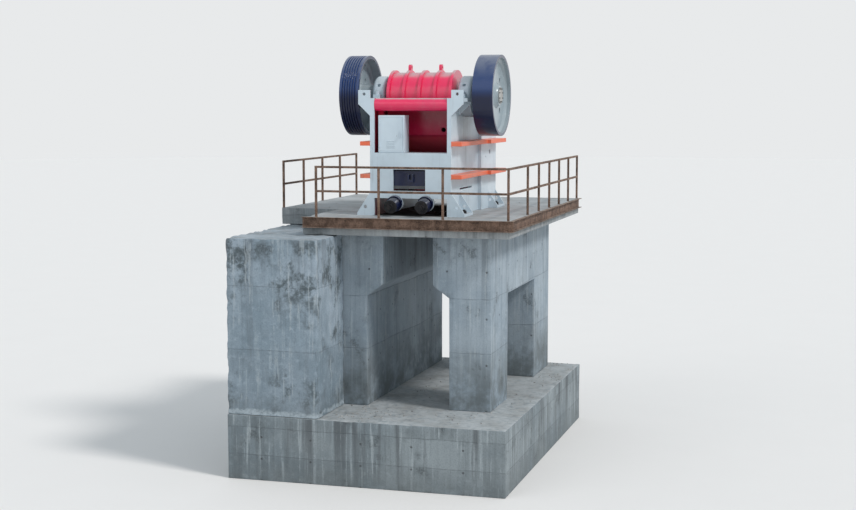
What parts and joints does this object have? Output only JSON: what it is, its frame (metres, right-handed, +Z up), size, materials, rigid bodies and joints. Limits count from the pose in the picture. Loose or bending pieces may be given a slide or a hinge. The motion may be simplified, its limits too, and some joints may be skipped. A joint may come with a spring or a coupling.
{
  "type": "single toggle jaw crusher on a concrete foundation",
  "caption": "Jaw crusher with a red pitman barrel and side flywheels on a railed deck, carried by concrete piers with a discharge tunnel and a broad plinth.",
  "frame": {"origin": "ground level under the front face of the piers, at the middle of the machine", "axes": "+X to the plain flywheel's side, +Y from the discharge side to the feed side, +Z up"},
  "size_m": [5.39, 7.67, 7.8378],
  "materials": {
    "plinth_concrete": "board marked cast concrete, light grey with stains",
    "rough_concrete": "rough rubble faced concrete with patches",
    "rusty_steel": "bare steel with brown rust",
    "cream_paint": "cream white machine paint",
    "orange_paint": "orange red machine paint",
    "red_paint": "raspberry red gloss paint",
    "white_paint": "white satin paint",
    "machined_steel": "turned steel, slightly oiled",
    "navy_paint": "glossy navy black paint",
    "manganese_steel": "cast manganese steel, dull and dusty",
    "dark_iron": "dark cast iron"
  },
  "bodies": {
    "frame": {"plinth": "plinth_concrete", "left_pier": "plinth_concrete", "right_pier": "plinth_concrete", "left_abutment": "rough_concrete", "deck_slab": "plinth_concrete", "deck_edge_channel": "rusty_steel", "front_guard_rail": "rusty_steel", "right_guard_rail": "rusty_steel", "left_guard_rail": "rusty_steel", "left_side_wall": "cream_paint", "right_side_wall": "cream_paint", "left_wall_ribs": "orange_paint", "right_wall_ribs": "orange_paint", "front_wall": "cream_paint", "front_wall_ribs": "orange_paint", "rear_wall": "cream_paint", "rear_cross_beam": "red_paint", "cabinet": "white_paint", "left_bearing_housing": "cream_paint", "right_bearing_housing": "cream_paint", "fixed_jaw_plate": "manganese_steel", "left_cheek_plate": "manganese_steel", "right_cheek_plate": "manganese_steel", "toggle_plate": "dark_iron", "rear_toggle_seat": "dark_iron", "adjusting_block": "navy_paint", "tension_rods": "machined_steel", "tension_springs": "navy_paint", "spring_cups": "navy_paint", "rod_nuts": "machined_steel", "anchor_bolts": "dark_iron"},
    "rotor": {"eccentric_shaft": "machined_steel", "left_grooved_wheel": "navy_paint", "right_flywheel": "navy_paint", "wheel_locking_rings": "machined_steel"},
    "pitman": {"pitman": "red_paint", "moving_jaw_plate": "manganese_steel", "jaw_wedge_bar": "red_paint", "front_toggle_seat": "dark_iron"}
  },
  "joints": [
    {"name": "rotor_spin", "type": "hinge", "parent": "frame", "child": "rotor", "pos_m": [0, 1.2, 7.07], "axis": [1, 0, 0], "continuous": true},
    {"name": "pitman_orbit", "type": "hinge", "parent": "rotor", "child": "pitman", "pos_m": [0, 1.2, 7.054], "axis": [1, 0, 0], "continuous": true}
  ],
  "couplings": [
    {"joint": "pitman_orbit", "follows": "rotor_spin", "ratio": -1}
  ]
}
